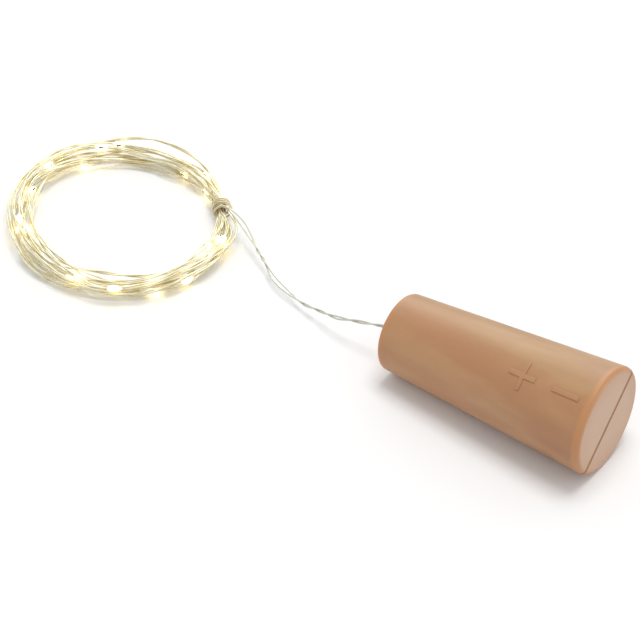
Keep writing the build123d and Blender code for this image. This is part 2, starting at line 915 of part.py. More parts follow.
arriving = (lead_points[-1] - lead_points[-2]).normalized()
tie_points = [tie_start + arriving * cord_diameter]
tie_points += [tie_place(turns) for turns in tie_stops]
tie_points += [coil_start - coil_headings[0] * cord_diameter]
tie_headings = [arriving]
tie_headings += [heading(tie_place, turns) for turns in tie_stops]
tie_headings += [coil_headings[0]]
with BuildPart() as string_tie:
    with BuildLine() as tie_line:
        Line(tie_start, tie_points[0])
        tie_arcs = biarcs(tie_points, tie_headings)
        Line(tie_points[-1], coil_start)
    tube(tie_line.line, cord_diameter)
tie_length = sum(arc.length for arc in tie_arcs) + 2 * cord_diameter
print("tie length", round(tie_length, 1), "tightest arc", round(min(arc.radius for arc in tie_arcs), 2))
print("tie least gap", round(least_gap(tie_arcs, cord_diameter, 2 * wrap_radius), 3))
export(string_tie, "string_tie")

# Lights: a chip on the wire in each clear drop
def along_coil(distance):
    """Gives the plane across the coil's wire at a length from its first arc."""
    for arc in coil_arcs:
        if distance <= arc.length:
            break
        distance -= arc.length
    forward = arc % (distance / arc.length)
    sideways = Vector(0, 0, 1).cross(forward).normalized()
    return Plane(origin=arc @ (distance / arc.length), x_dir=sideways, z_dir=forward)


light_spacing = (coil_length - first_light - string_tail) / (light_count - 1)
light_planes = [along_coil(first_light + number * light_spacing) for number in range(light_count)]
print("light spacing", round(light_spacing, 1))
chip_rise = cord_diameter / 2 + rest_gap
with BuildPart() as chip:
    with BuildSketch(Plane.XZ.offset(-chip_rise - chip_height)):
        Rectangle(chip_width, chip_length)
    extrude(amount=chip_height)

with BuildPart() as bead:
    with BuildSketch(Plane.XZ):
        with BuildLine():
            ThreePointArc((0, -bead_length / 2), (bead_radius, 0), (0, bead_length / 2))
            Line((0, bead_length / 2), (0, -bead_length / 2))
        make_face()
    revolve(axis=Axis.Z)
    add(chip.part, mode=Mode.SUBTRACT)
    with BuildSketch(Plane.XY.offset(-bead_length)):
        Circle(cord_diameter / 2 + bead_bore_gap)
    extrude(amount=2 * bead_length, mode=Mode.SUBTRACT)

with BuildPart() as led_chips:
    with Locations(*light_planes):
        add(chip.part)
export(led_chips, "led_chips")

with BuildPart() as led_beads:
    with Locations(*light_planes):
        add(bead.part)
export(led_beads, "led_beads")
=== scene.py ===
import random
from math import atan, cos, hypot, pi, radians, sin

import bpy
from mathutils import Matrix, Vector


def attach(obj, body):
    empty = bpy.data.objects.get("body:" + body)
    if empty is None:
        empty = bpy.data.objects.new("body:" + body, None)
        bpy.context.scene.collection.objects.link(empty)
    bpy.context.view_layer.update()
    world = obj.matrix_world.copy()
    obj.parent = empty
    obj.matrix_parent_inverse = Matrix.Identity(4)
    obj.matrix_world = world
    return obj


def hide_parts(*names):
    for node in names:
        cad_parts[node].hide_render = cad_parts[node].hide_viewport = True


# A light for the neck of a bottle: a battery case shaped like a tapered cork, lying on its
# side, and a thin twin wire with lit drops, wound in a loose oval coil that its own wire ties.
# Metres, +Z up, the floor at Z = 0, the case's long axis along X.
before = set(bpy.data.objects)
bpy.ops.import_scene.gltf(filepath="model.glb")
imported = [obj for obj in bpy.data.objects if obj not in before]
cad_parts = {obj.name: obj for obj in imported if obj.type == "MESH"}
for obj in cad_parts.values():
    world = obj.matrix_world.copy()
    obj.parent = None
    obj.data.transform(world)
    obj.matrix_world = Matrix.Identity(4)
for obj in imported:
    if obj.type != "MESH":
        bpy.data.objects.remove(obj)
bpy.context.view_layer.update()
bpy.ops.object.select_all(action="DESELECT")

# Floor, studio light and camera: a white sheet under one large lamp and an even white sky.
# The two banks of lamps only show in the gloss. The picture is taken from the large end's
# side, 40 degrees up, with a long lens, whose focal length is given in the picture's pixels.
floor_size = 3.0
floor_colour = (0.902, 0.907, 0.910, 1)
camera_target = Vector((-0.04698, 0.00045, 0))
camera_back = Vector((0.4723, -0.6024, 0.6435))
camera_distance = 0.3550
camera_focal = 1606.5
camera_near = 0.01
picture_width = 640
sensor_width = 36
world_strength = 0.72

# Each lamp's name, place, size, power and tint
lamps = [
    ("overhead_lamp", (-0.01, 0.12, 1.00), 0.45, 4.6, (1, 1, 1)),
    ("back_bank", (-0.45, 0.70, 0.60), 0.80, 7.0, (0.95, 1, 0.94)),
    ("side_bank", (0.80, 0.45, 0.20), 0.50, 3.0, (1, 1, 1)),
]


class Shade:
    """An output of a shading node, on which arithmetic adds Math nodes."""

    def __init__(self, tree, output=None):
        self.tree = tree
        self.output = output

    def node(self, kind, settings=None, inputs=None, give=0):
        """Adds a node with its settings and the values or links of its inputs."""
        node = self.tree.nodes.new("ShaderNode" + kind)
        for name, value in (settings or {}).items():
            setattr(node, name, value)
        for name, value in (inputs or {}).items():
            if isinstance(value, Shade):
                self.tree.links.new(value.output, node.inputs[name])
            else:
                node.inputs[name].default_value = value
        return Shade(self.tree, node.outputs[give])

    def maths(self, operation, first, second=0.0):
        """Adds a Math node on two values."""
        return self.node("Math", {"operation": operation}, {0: first, 1: second})

    def __add__(self, other):
        return self.maths("ADD", self, other)

    def __radd__(self, other):
        return self.maths("ADD", other, self)

    def __sub__(self, other):
        return self.maths("SUBTRACT", self, other)

    def __rsub__(self, other):
        return self.maths("SUBTRACT", other, self)

    def __mul__(self, other):
        return self.maths("MULTIPLY", self, other)

    def __rmul__(self, other):
        return self.maths("MULTIPLY", other, self)

    def dot(self, direction):
        """Measures this vector along a direction."""
        return self.node("VectorMath", {"operation": "DOT_PRODUCT"}, {0: self, 1: direction}, give=1)

    def smooth(self, low, high):
        """Rises smoothly from 0 to 1 as this value goes from low to high."""
        settings = {"interpolation_type": "SMOOTHSTEP"}
        return self.node("MapRange", settings, {"Value": self, "From Min": low, "From Max": high})

    def blend(self, first, second):
        """Mixes two colours by this value."""
        return self.node("Mix", {"data_type": "RGBA"}, {0: self, 6: first, 7: second}, give=2)

    def noise(self, scale, detail, place=None):
        """Adds a noise on the object's own coordinates, or on a place that is given."""
        place = place or self.node("TexCoord", give="Object")
        return self.node("TexNoise", None, {"Vector": place, "Scale": scale, "Detail": detail})

    def bump(self, height, distance, strength):
        """Adds a bump that the height raises by up to the distance."""
        return self.node("Bump", None, {"Height": height, "Distance": distance, "Strength": strength})

    def feed(self, node, socket):
        """Links this output to a node's socket."""
        self.tree.links.new(self.output, node.inputs[socket])


def finish(name, **values):
    """Starts a material with uniform values on its shader, and gives it, its nodes and its shader."""
    material = bpy.data.materials.new(name)
    material.use_nodes = True
    shader = material.node_tree.nodes["Principled BSDF"]
    for socket, value in values.items():
        shader.inputs[socket.replace("_", " ")].default_value = value
    return material, Shade(material.node_tree), shader


def dress(piece, material):
    """Gives a piece that one material."""
    piece.data.materials.clear()
    piece.data.materials.append(material)


def made(name):
    """Names the piece that was just added, and gives it."""
    piece = bpy.context.object
    piece.name = name
    piece.data.name = name
    return piece


bpy.ops.mesh.primitive_plane_add(size=floor_size)
floor = made("floor")
floor_material, nodes, shader = finish("floor_paint", Base_Color=floor_colour, Roughness=0.9)
dress(floor, floor_material)

world = bpy.data.worlds.new("studio")
bpy.context.scene.world = world
world.use_nodes = True
background = world.node_tree.nodes["Background"]
background.inputs["Color"].default_value = (1, 1, 1, 1)
sky = Shade(world.node_tree)
camera_ray = sky.node("LightPath", give="Is Camera Ray")
strength = camera_ray * (1 - world_strength) + world_strength
strength.feed(background, "Strength")

for name, place, size, power, tint in lamps:
    bpy.ops.object.light_add(type="AREA", location=place)
    lamp = made(name)
    lamp.data.size = size
    lamp.data.energy = power
    lamp.data.color = tint
    aim = camera_target - Vector(place)
    lamp.rotation_euler = aim.to_track_quat("-Z", "Y").to_euler()
    lamp.visible_diffuse = name == "overhead_lamp"

bpy.ops.object.camera_add(location=camera_target + camera_back.normalized() * camera_distance)
camera = made("camera")
camera.rotation_euler = camera_back.to_track_quat("Z", "Y").to_euler()
camera.data.sensor_width = sensor_width
camera.data.lens = camera_focal / picture_width * sensor_width
camera.data.clip_start = camera_near
bpy.context.scene.camera = camera
bpy.context.scene.view_settings.view_transform = "Standard"

# Case: the housing and the battery cover that slides on it, with a fine seam between them.
# Both are moulded in one satin tan plastic with a faint swirl. The end face is paler, partly
# its own tone and partly painted sheen. Painted on the plastic are a warm reflection along the
# rounded rims, shade along the seam and a highlight tone on the upper side. The marks and the
# ribs are in the mould.
case_start = Vector((-0.024984, 0, 0.0085855))
case_axis = Vector((0.998316, 0, 0.058018))
case_length = 0.0499
small_end_radius = 0.0086
large_end_radius = 0.0115
small_rim = 0.00075
large_rim = 0.00105
seam_roll = radians(41.4)
seam_level = -0.00030
seam_half = 0.00036
seam_blur = 0.00036
bay_start = 0.0254
bay_blur = 0.0001
merge_distance = 0.000001
smooth_edge = radians(28)
skin_match = 0.975

# Where the rims' painted warm reflection fades in from each end, the pale face with its painted
# sheen from its depth and its edge, and the painted highlight tone of the upper side
large_reflection_reach = (0.0021, 0.0010)
small_reflection_reach = (0.0002, 0.0018)
face_depth = (0.0006, 0.0001)
face_margin = (0.0014, 0.0003)
face_middle = 0.0060
top_light_side = Vector((0, 0.50, 0.87))
top_light_reach = (0.0060, 0.0102)
swirl_stretch = (0.25, 1, 1)
swirl_scale = 150
streak_scale = 95
grain_scale = 900
satin_scale = 5200
satin_depth = 0.00003
case_tan = (0.405, 0.190, 0.086, 1)
case_top_light = (0.365, 0.190, 0.064, 1)
case_light = (0.49, 0.285, 0.140, 1)
case_umber = (0.33, 0.150, 0.072, 1)
case_rim_reflection = (0.52, 0.235, 0.090, 1)
face_pale_and_sheen = (0.58, 0.385, 0.265, 1)
seam_shade_colour = (0.34, 0.130, 0.024, 1)

taper = (large_end_radius - small_end_radius) / case_length
lean = atan(taper)
seam_across = Vector((0, cos(seam_roll), 0)) + Vector((-sin(lean), 0, cos(lean))) * sin(seam_roll)
seam_up = case_axis.cross(seam_across)
small_rim_middle = (small_rim, small_end_radius + taper * small_rim - small_rim / cos(lean))
large_rim_start = case_length - large_rim
large_rim_middle = (large_rim_start, small_end_radius + taper * large_rim_start - large_rim / cos(lean))


def skin_normal(place):
    """Gives the normal of the case's skin at a place on its side, its rims or its ends."""
    along = (place - case_start).dot(case_axis)
    across = place - case_start - case_axis * along
    slope = Vector((-sin(lean), cos(lean)))
    if along > large_rim_middle[0] - large_rim * sin(lean):
        slope = Vector((along - large_rim_middle[0], max(across.length - large_rim_middle[1], 0)))
    if along < small_rim_middle[0] - small_rim * sin(lean):
        slope = Vector((along - small_rim_middle[0], max(across.length - small_rim_middle[1], 0)))
    slope.normalize()
    return case_axis * slope.x + across.normalized() * slope.y


def case_places(nodes):
    """Gives a surface's place, its way from the case's start, and its distance off the axis."""
    place = nodes.node("TexCoord", give="Object")
    from_start = nodes.node("VectorMath", {"operation": "SUBTRACT"}, {0: place, 1: case_start})
    around = nodes.node("VectorMath", {"operation": "CROSS_PRODUCT"}, {0: from_start, 1: case_axis})
    out = nodes.node("VectorMath", {"operation": "LENGTH"}, {0: around}, give=1)
    return place, from_start, out


case_plastic, nodes, shader = finish("case_plastic", Specular_IOR_Level=0.55, IOR=1.48)
place, from_start, out = case_places(nodes)
along = from_start.dot(case_axis)
streaks = nodes.node("Mapping", None, {"Vector": place, "Rotation": (0, lean, 0), "Scale": swirl_stretch})
swirl = nodes.noise(swirl_scale, 3.0, streaks)
streak = nodes.noise(streak_scale, 2.0, streaks).smooth(0.50, 0.68)
grain = nodes.noise(grain_scale, 4.0)
# Painted warm reflection along both rounded rims, fading in from each end
large_rim_reflection = along.smooth(*(case_length - depth for depth in large_reflection_reach))
rims = large_rim_reflection + (1 - along.smooth(*small_reflection_reach))
# The end face is paler, partly its own tone and partly painted sheen, most in its middle
end_face = along.smooth(*(case_length - depth for depth in face_depth))
end_face = end_face * (1 - out.smooth(*(large_end_radius - margin for margin in face_margin)))
middle = 1 - out.smooth(face_middle, large_end_radius)
# A painted highlight tone on the upper side, where the light falls from above
top_light = from_start.dot(top_light_side).smooth(*top_light_reach)
colour = (0.9 * top_light).blend(case_tan, case_top_light)
colour = (0.45 * swirl.smooth(0.40, 0.66) + 0.2 * grain).blend(colour, case_light)
colour = (0.6 * streak).blend(colour, case_umber)
colour = (0.75 * rims).blend(colour, case_rim_reflection)
colour = (end_face * (0.72 + 0.28 * middle)).blend(colour, face_pale_and_sheen)
# Painted shade along the seam, in a band wider than its gap
off_seam = nodes.maths("ABSOLUTE", from_start.dot(seam_up) - seam_level)
seam = 1 - off_seam.smooth(seam_half, seam_half + seam_blur)
bay = along.smooth(bay_start, bay_start + bay_blur)
(0.85 * seam * bay).blend(colour, seam_shade_colour).feed(shader, "Base Color")
(0.40 + 0.16 * grain).feed(shader, "Roughness")
nodes.bump(nodes.noise(satin_scale, 3.0), satin_depth, 0.5).feed(shader, "Normal")

# The two shells keep their CAD shape, and their outer faces are shaded as one smooth skin
for name, node in (("case_housing", "housing"), ("case_cover", "battery_cover")):
    shell = bpy.data.objects.new(name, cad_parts[node].data.copy())
    bpy.context.scene.collection.objects.link(shell)
    bpy.context.view_layer.objects.active = shell
    shell.select_set(True)
    bpy.ops.object.mode_set(mode="EDIT")
    bpy.ops.mesh.select_all(action="SELECT")
    bpy.ops.mesh.remove_doubles(threshold=merge_distance)
    bpy.ops.object.mode_set(mode="OBJECT")
    bpy.ops.object.shade_smooth_by_angle(angle=smooth_edge)
    shell.select_set(False)
    normals = [corner.vector.copy() for corner in shell.data.corner_normals]
    for face in shell.data.polygons:
        for corner in face.loop_indices:
            skin = skin_normal(shell.data.vertices[shell.data.loops[corner].vertex_index].co)
            if skin.dot(face.normal) > skin_match:
                normals[corner] = skin
    shell.data.normals_split_custom_set(normals)
    dress(shell, case_plastic)
    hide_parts(node)
    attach(shell, node)

# String: one twin wire, of two silver-coloured enamelled wires that cross every centimetre or so.
# It leaves the small end, sags towards the table, wraps the bundle to tie it, and is then wound
# in the coil, turn by turn, to its bare end. Bearings are in degrees.
wire_diameter = 0.00038
lead_points = [
    (-0.02299, 0, 0.0087),
    (-0.02698, 0, 0.00847),
    (-0.0322, -0.0010, 0.0076),
    (-0.0363, -0.0012, 0.0064),
    (-0.0414, -0.0014, 0.0048),
    (-0.0466, -0.0003, 0.0034),
    (-0.0510, 0.0002, 0.0024),
    (-0.0552, 0.0013, 0.0019),
    (-0.0594, 0.0024, 0.0020),
    (-0.0631, 0.0037, 0.0020),
    (-0.0671, 0.0062, 0.0024),
    (-0.0714, 0.0083, 0.0032),
    (-0.0750, 0.0102, 0.0041),
    (-0.0793, 0.0123, 0.0051),
    (-0.0838, 0.0137, 0.0056),
]
coil_centre = Vector((-0.1060, -0.0004, 0))
coil_half_length = 0.028
coil_half_width = 0.0229
coil_roll = -20.0
coil_turns = 11.5
turn_points = 18
tie_bearing = 42.0
tie_height = 0.0030
tie_radius = 0.0015
wrap_radius = 0.0022
wrap_turns = 2.25
wrap_points = 12
wrap_pitch = 0.0014
lowest_wire = 0.0008
golden_angle = 2.399963
twist_range = (0.5, 1.3)
angle_shake = 0.35
reach_range = (0.75, 1.15)
shake = 0.0004
route_steps = 8
upright = Vector((0, 0, 1))
draw = random.Random(7)

# The bundle past the tie: degrees, half width, half height and how far it lies outwards
sections = [
    (14, 0.0018, 0.0017, 0.0002),
    (45, 0.0026, 0.0022, 0.0001),
    (80, 0.0032, 0.0025, 0),
    (115, 0.0032, 0.0025, 0),
    (150, 0.0028, 0.0024, 0.0002),
    (180, 0.0025, 0.0023, 0.0004),
    (208, 0.0027, 0.0022, 0.0009),
    (238, 0.0034, 0.0024, 0.0014),
    (268, 0.0038, 0.0025, 0.0014),
    (300, 0.0031, 0.0023, 0.0006),
    (326, 0.0030, 0.0022, 0.0004),
    (344, 0.0031, 0.0022, 0.0003),
]

# Loops that stray from it: turn, degrees past the tie, half reach in degrees, outwards and up
strays = [
    (2, 62, 40, 0.0019, 0.0005),
    (7, 75, 55, 0.0022, 0.0007),
    (4, 98, 50, 0.0018, 0.0006),
    (9, 34, 30, 0.0019, 0.0002),
    (5, 80, 60, -0.0024, -0.0008),
    (8, 100, 50, -0.0028, -0.0008),
    (11, 62, 45, -0.0018, -0.0008),
    (3, 165, 75, -0.0017, 0.0004),
    (10, 215, 34, -0.0016, 0.0008),
    (1, 240, 30, 0.0013, -0.0004),
    (6, 226, 30, 0.0015, -0.0005),
    (8, 222, 36, 0.0018, -0.0008),
    (0, 318, 30, 0.0017, 0),
    (5, 340, 22, 0.0021, 0.0004),
    (9, 345, 20, -0.0012, 0),
    (2, 300, 30, 0.0012, -0.0004),
]


def oval(bearing):
    """Gives the point of the bundle's middle line on a bearing from the coil's centre."""
    turned = radians(bearing - coil_roll)
    off_axes = hypot(coil_half_width * cos(turned), coil_half_length * sin(turned))
    radius = coil_half_length * coil_half_width / off_axes
    return coil_centre + radius * Vector((cos(radians(bearing)), sin(radians(bearing)), 0))


def ease(share):
    """Rises smoothly from 0 to 1."""
    share = min(max(share, 0), 1)
    return share * share * (3 - 2 * share)


tie_along = (oval(tie_bearing + 1) - oval(tie_bearing - 1)).normalized()
tie_out = tie_along.cross(upright)
tie_middle = oval(tie_bearing) + upright * tie_height
route = [Vector(point) for point in lead_points]
for step in range(int(wrap_turns * wrap_points) + 1):
    turned = step / wrap_points
    angle = pi / 2 + 2 * pi * turned
    across = tie_out * cos(angle) + upright * sin(angle)
    route.append(tie_middle + across * wrap_radius + tie_along * wrap_pitch * (turned - wrap_turns / 2))

# Each turn has its own place in the bundle, drawn by lot, and the bundle twists to and fro
turn_count = int(coil_turns) + 1
slots = list(range(turn_count + 1))
draw.shuffle(slots)
twists = [0.0]
for section in sections:
    twists.append(twists[-1] + draw.choice((-1, 1)) * draw.uniform(*twist_range))


def slot_place(slot):
    """Gives a slot's angle and its share of the bundle's radius, with the slots spread evenly."""
    return golden_angle * slot, ((slot + 0.5) / turn_count) ** 0.5


stops = []
for turn in range(turn_count):
    angle, depth = slot_place(slots[turn])
    next_angle, next_depth = slot_place(slots[turn + 1])
    turn_stops = [(0, tie_radius * depth * cos(angle), tie_radius * depth * sin(angle))]
    for (degrees_past, half_width, half_height, outwards), twist in zip(sections, twists[1:]):
        turned = angle + twist + draw.uniform(-angle_shake, angle_shake)
        reach = depth * draw.uniform(*reach_range)
        across = outwards + half_width * reach * cos(turned)
        turn_stops.append((degrees_past, across, half_height * min(reach, 1) * sin(turned)))
    across = tie_radius * next_depth * cos(next_angle)
    turn_stops.append((360, across, tie_radius * next_depth * sin(next_angle)))
    stops.append(turn_stops)

# The coil's points: the place in the bundle between two stops, with a shake and any stray loop
for step in range(1, int(coil_turns * turn_points) + 1):
    turn, point = divmod(step, turn_points)
    past = 360 * point / turn_points
    before, after = next(pair for pair in zip(stops[turn], stops[turn][1:]) if pair[1][0] > past)
    share = ease((past - before[0]) / (after[0] - before[0]))
    across = before[1] + share * (after[1] - before[1]) + draw.uniform(-shake, shake)
    up = before[2] + share * (after[2] - before[2]) + draw.uniform(-shake, shake)
    for stray_turn, stray_middle, reach, stray_out, stray_up in strays:
        if stray_turn == turn:
            across += stray_out * ease(1 - abs(past - stray_middle) / reach)
            up += stray_up * ease(1 - abs(past - stray_middle) / reach)
    place = oval(tie_bearing + past)
    away = (place - coil_centre).normalized()
    route.append(place + away * across + upright * max(tie_height + up, lowest_wire))

route_curve = bpy.data.curves.new("string_route", "CURVE")
route_curve.dimensions = "3D"
route_curve.resolution_u = route_steps
spline = route_curve.splines.new("NURBS")
spline.points.add(len(route) - 1)
for point, place in zip(spline.points, route):
    point.co = (*place, 1)
spline.order_u = 3
spline.use_endpoint_u = True
route_object = bpy.data.objects.new("string_route", route_curve)
route_mesh = bpy.data.meshes.new_from_object(route_object)
path = [vertex.co.copy() for vertex in route_mesh.vertices]
bpy.data.meshes.remove(route_mesh)
bpy.data.objects.remove(route_object)

# Distances along the path, and a frame at each point that turns as little as it can
reached = [0.0]
for before, after in zip(path, path[1:]):
    reached.append(reached[-1] + (after - before).length)
string_length = reached[-1]
tangents = [(path[min(n + 1, len(path) - 1)] - path[max(n - 1, 0)]).normalized() for n in range(len(path))]
sideways = [upright.cross(tangents[0]).normalized()]
for tangent in tangents[1:]:
    sideways.append((sideways[-1] - tangent * sideways[-1].dot(tangent)).normalized())

# The lights' distances along the string, counted back from just before its end
light_count = 20
light_spacing = 0.0943
string_tail = 0.012
light_places = [string_length - string_tail - number * light_spacing for number in range(light_count)]

# The two wires part and cross along the string, and run close together in each drop:
# the distances of the crossings, and half the wires' spread between each two
crossings = [0.0, 0.0075, 0.0135, 0.0205, 0.0253, 0.0300, 0.0466, 0.0492, 0.0516, 0.0670, 0.0800, 0.0930]
widths = [0.00022, 0.00026, 0.00034, 0.00022, 0.00022, 0.00052, 0.00022, 0.00022, 0.00055, 0.0002, 0.0002]
crossing_step = (0.008, 0.016)
coil_widths = (0.00019, 0.00022, 0.00026, 0.00032, 0.00050)
while crossings[-1] < string_length:
    crossings.append(crossings[-1] + draw.uniform(*crossing_step))
    widths.append(draw.choice(coil_widths))
drop_width = 0.00022
drop_reach = 0.002
drop_blur = 0.004
crossing_share = 0.52
wire_sides = 6
# How far from the tie's middle the painted shade on its wraps reaches
tie_shade_reach = 0.0023
tie_shade_blur = 0.0008
wire_points = []
wire_faces = []
wire_along = []
wire_tie_shade = []
for side in (-1, 1):
    first = len(wire_points)
    lobe = 0
    for number, centre in enumerate(path):
        while lobe < len(widths) - 1 and reached[number] > crossings[lobe + 1]:
            lobe += 1
        share = (reached[number] - crossings[lobe]) / (crossings[lobe + 1] - crossings[lobe])
        phase = pi * (lobe + share)
        from_light = min(abs(reached[number] - light) for light in light_places)
        width = drop_width + (widths[lobe] - drop_width) * ease((from_light - drop_reach) / drop_blur)
        up = tangents[number].cross(sideways[number])
        offset = sideways[number] * width * sin(phase) + up * crossing_share * wire_diameter * cos(phase)
        for corner in range(wire_sides):
            angle = 2 * pi * corner / wire_sides
            ring = sideways[number] * cos(angle) + up * sin(angle)
            wire_points.append(centre + side * offset + ring * wire_diameter / 2)
            wire_along.append(reached[number])
            wire_tie_shade.append(ease((tie_shade_reach - (centre - tie_middle).length) / tie_shade_blur))
    for number in range(len(path) - 1):
        here = first + number * wire_sides
        ahead = here + wire_sides
        for corner in range(wire_sides):
            next_corner = (corner + 1) % wire_sides
            wire_faces.append((here + corner, here + next_corner, ahead + next_corner, ahead + corner))
    wire_faces.append([first + corner for corner in reversed(range(wire_sides))])
    wire_faces.append([len(wire_points) - wire_sides + corner for corner in range(wire_sides)])
wire_mesh = bpy.data.meshes.new("twin_wire")
wire_mesh.from_pydata(wire_points, [], wire_faces)
wire_mesh.shade_smooth()
wire_mesh.attributes.new("along", "FLOAT", "POINT").data.foreach_set("value", wire_along)
wire_mesh.attributes.new("tie_shade", "FLOAT", "POINT").data.foreach_set("value", wire_tie_shade)
twin_wire = bpy.data.objects.new("twin_wire", wire_mesh)
bpy.context.scene.collection.objects.link(twin_wire)

# One wire, painted darker along the lead for the dark surroundings it reflects, and paler in the coil for
# the drops' light on it
lead_wire_shaded = (0.56, 0.55, 0.48, 1)
coil_wire_lit = (0.88, 0.83, 0.64, 1)
wire_olive = (0.68, 0.60, 0.36, 1)
tie_shade_colour = (0.24, 0.14, 0.055, 1)
lead_end = (0.060, 0.074)
tarnish_scale = 260
string_finish, nodes, shader = finish("string_wire", Metallic=0.7, Specular_IOR_Level=0.6)
along = nodes.node("Attribute", {"attribute_name": "along"}, give="Fac")
tarnish = nodes.noise(tarnish_scale, 3.0).smooth(0.35, 0.68)
tie_shade = nodes.node("Attribute", {"attribute_name": "tie_shade"}, give="Fac")
colour = along.smooth(*lead_end).blend(lead_wire_shaded, tarnish.blend(coil_wire_lit, wire_olive))
# Painted shade on the wraps of the tie
(0.85 * tie_shade).blend(colour, tie_shade_colour).feed(shader, "Base Color")
(0.38 + 0.2 * tarnish).feed(shader, "Roughness")
dress(twin_wire, string_finish)
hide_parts("string_lead", "string_tie", "string_coil")
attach(twin_wire, "housing")

# Drops: clear resin run round both wires over each light chip, lit warm white.
# Cast thick in the middle and drawn out to a point at each end, where the wires go in.
drop_radius = 0.00072
drop_length = 0.0036
drop_neck = 0.25
drop_neck_power = 3
drop_run = 0.12
drop_flat = 0.92
drop_glow = (0.3, 0.75)
drop_clear = (1, 0.95, 0.85, 1)
drop_white = (1.0, 0.79, 0.34, 1)
drop_yellow = (0.12, 0.10, 0.05, 1)
drop_strength = 6.5
bpy.ops.mesh.primitive_uv_sphere_add(segments=16, ring_count=12, radius=drop_radius)
drop = made("lit_drops")
for vertex in drop.data.vertices:
    share = vertex.co.z / drop_radius
    neck = 1 - drop_neck * abs(share) ** drop_neck_power
    vertex.co.x *= neck * (1 + drop_run * (vertex.co.x > 0))
    vertex.co.y *= drop_flat * neck
    vertex.co.z = share * drop_length / 2
drop.data.attributes.new("share", "FLOAT", "POINT").data.foreach_set(
    "value", [abs(vertex.co.z) * 2 / drop_length for vertex in drop.data.vertices]
)
drop.data.shade_smooth()
drop_finish, nodes, shader = finish(
    "clear_resin", Base_Color=drop_clear, Roughness=0.12, Emission_Strength=drop_strength
)
share = nodes.node("Attribute", {"attribute_name": "share"}, give="Fac")
share.smooth(*drop_glow).blend(drop_white, drop_yellow).feed(shader, "Emission Color")
dress(drop, drop_finish)


def at_length(distance):
    """Gives the path's place and directions at a length from the start, as a matrix."""
    number = next(n for n, length in enumerate(reached) if length >= distance)
    up = tangents[number].cross(sideways[number])
    matrix = Matrix((sideways[number], up, tangents[number])).transposed().to_4x4()
    matrix.translation = path[number]
    return matrix


def spread_out(piece, places):
    """Copies a piece to each place and joins the copies in one piece."""
    pattern = piece.data.copy()
    piece.data.transform(places[0])
    bpy.ops.object.select_all(action="DESELECT")
    for matrix in places[1:]:
        copy = bpy.data.objects.new("copy", pattern.copy())
        copy.data.transform(matrix)
        bpy.context.scene.collection.objects.link(copy)
        copy.select_set(True)
    piece.select_set(True)
    bpy.context.view_layer.objects.active = piece
    bpy.ops.object.join()
    bpy.data.meshes.remove(pattern)


light_frames = [at_length(place) for place in light_places]
spread_out(drop, light_frames)
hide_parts("led_beads")
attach(drop, "housing")

# Light chips: a small block of yellow phosphor with dark patches on the wires in each drop.
# It is soldered to both wires before the resin is run on, and stands a little out of its side.
chip_size = (0.0008, 0.0005, 0.0013)
chip_corner = 0.00008
chip_out = 0.00046
chip_phosphor = (0.62, 0.50, 0.10, 1)
chip_dark = (0.05, 0.055, 0.012, 1)
chip_scale = 1400
bpy.ops.mesh.primitive_cube_add(size=1)
chip = made("light_chips")
for vertex in chip.data.vertices:
    vertex.co = Vector(side * size for side, size in zip(vertex.co, chip_size))
    vertex.co.x += chip_out
bevel = chip.modifiers.new("rounding", "BEVEL")
bevel.width = chip_corner
bevel.segments = 2
bpy.ops.object.modifier_apply(modifier="rounding")
chip.data.shade_smooth()
chip_finish, nodes, shader = finish("phosphor_chip", Roughness=0.35, Coat_Weight=0.4)
nodes.noise(chip_scale, 2.0).smooth(0.4, 0.6).blend(chip_phosphor, chip_dark).feed(shader, "Base Color")
dress(chip, chip_finish)
spread_out(chip, light_frames)
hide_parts("led_chips")
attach(chip, "housing")

# Partition plate between the battery bay and the electronics, pressed in against two stops.
# It is the case's tan plastic, but duller, with the fine texture of its mould.
inner_tan = (0.36, 0.19, 0.10, 1)
inner_brown = (0.29, 0.145, 0.07, 1)
mould_scale = 420
mould_grain_scale = 3600
mould_depth = 0.00004
inner_plastic, nodes, shader = finish("inner_plastic", Specular_IOR_Level=0.4)
mould = nodes.noise(mould_scale, 4.0)
mould.smooth(0.35, 0.7).blend(inner_tan, inner_brown).feed(shader, "Base Color")
(0.52 + 0.2 * mould).feed(shader, "Roughness")
nodes.bump(nodes.noise(mould_grain_scale, 3.0), mould_depth, 0.6).feed(shader, "Normal")


def coat(names, material):
    """Gives CAD nodes a material through their slots."""
    for name in names:
        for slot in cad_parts[name].material_slots:
            slot.material = material


coat(("partition_plate",), inner_plastic)

# Contacts, spring, and the switch's metal: stamped sheet and wound wire, nickel-plated.
# Bright, with the grain of the rolled sheet and dull spots where the plating is thin.
nickel_bright = (0.74, 0.72, 0.67, 1)
nickel_dull = (0.50, 0.46, 0.38, 1)
rolled_stretch = (0.15, 1, 1)
rolled_scale = 900
rolled_depth = 0.00002
thin_scale = 500
nickel, nodes, shader = finish("nickel_plate", Metallic=1.0)
place = nodes.node("TexCoord", give="Object")
stretched = nodes.node("Mapping", None, {"Vector": place, "Scale": rolled_stretch})
rolled = nodes.noise(rolled_scale, 3.0, stretched)
thin = nodes.noise(thin_scale, 4.0).smooth(0.52, 0.70)
thin.blend(nickel_bright, nickel_dull).feed(shader, "Base Color")
(0.22 + 0.16 * rolled + 0.14 * thin).feed(shader, "Roughness")
nodes.bump(rolled, rolled_depth, 0.5).feed(shader, "Normal")
contacts = ("positive_contact", "negative_contact", "contact_spring")
coat(contacts + ("switch_frame", "switch_terminals", "switch_wiper"), nickel)

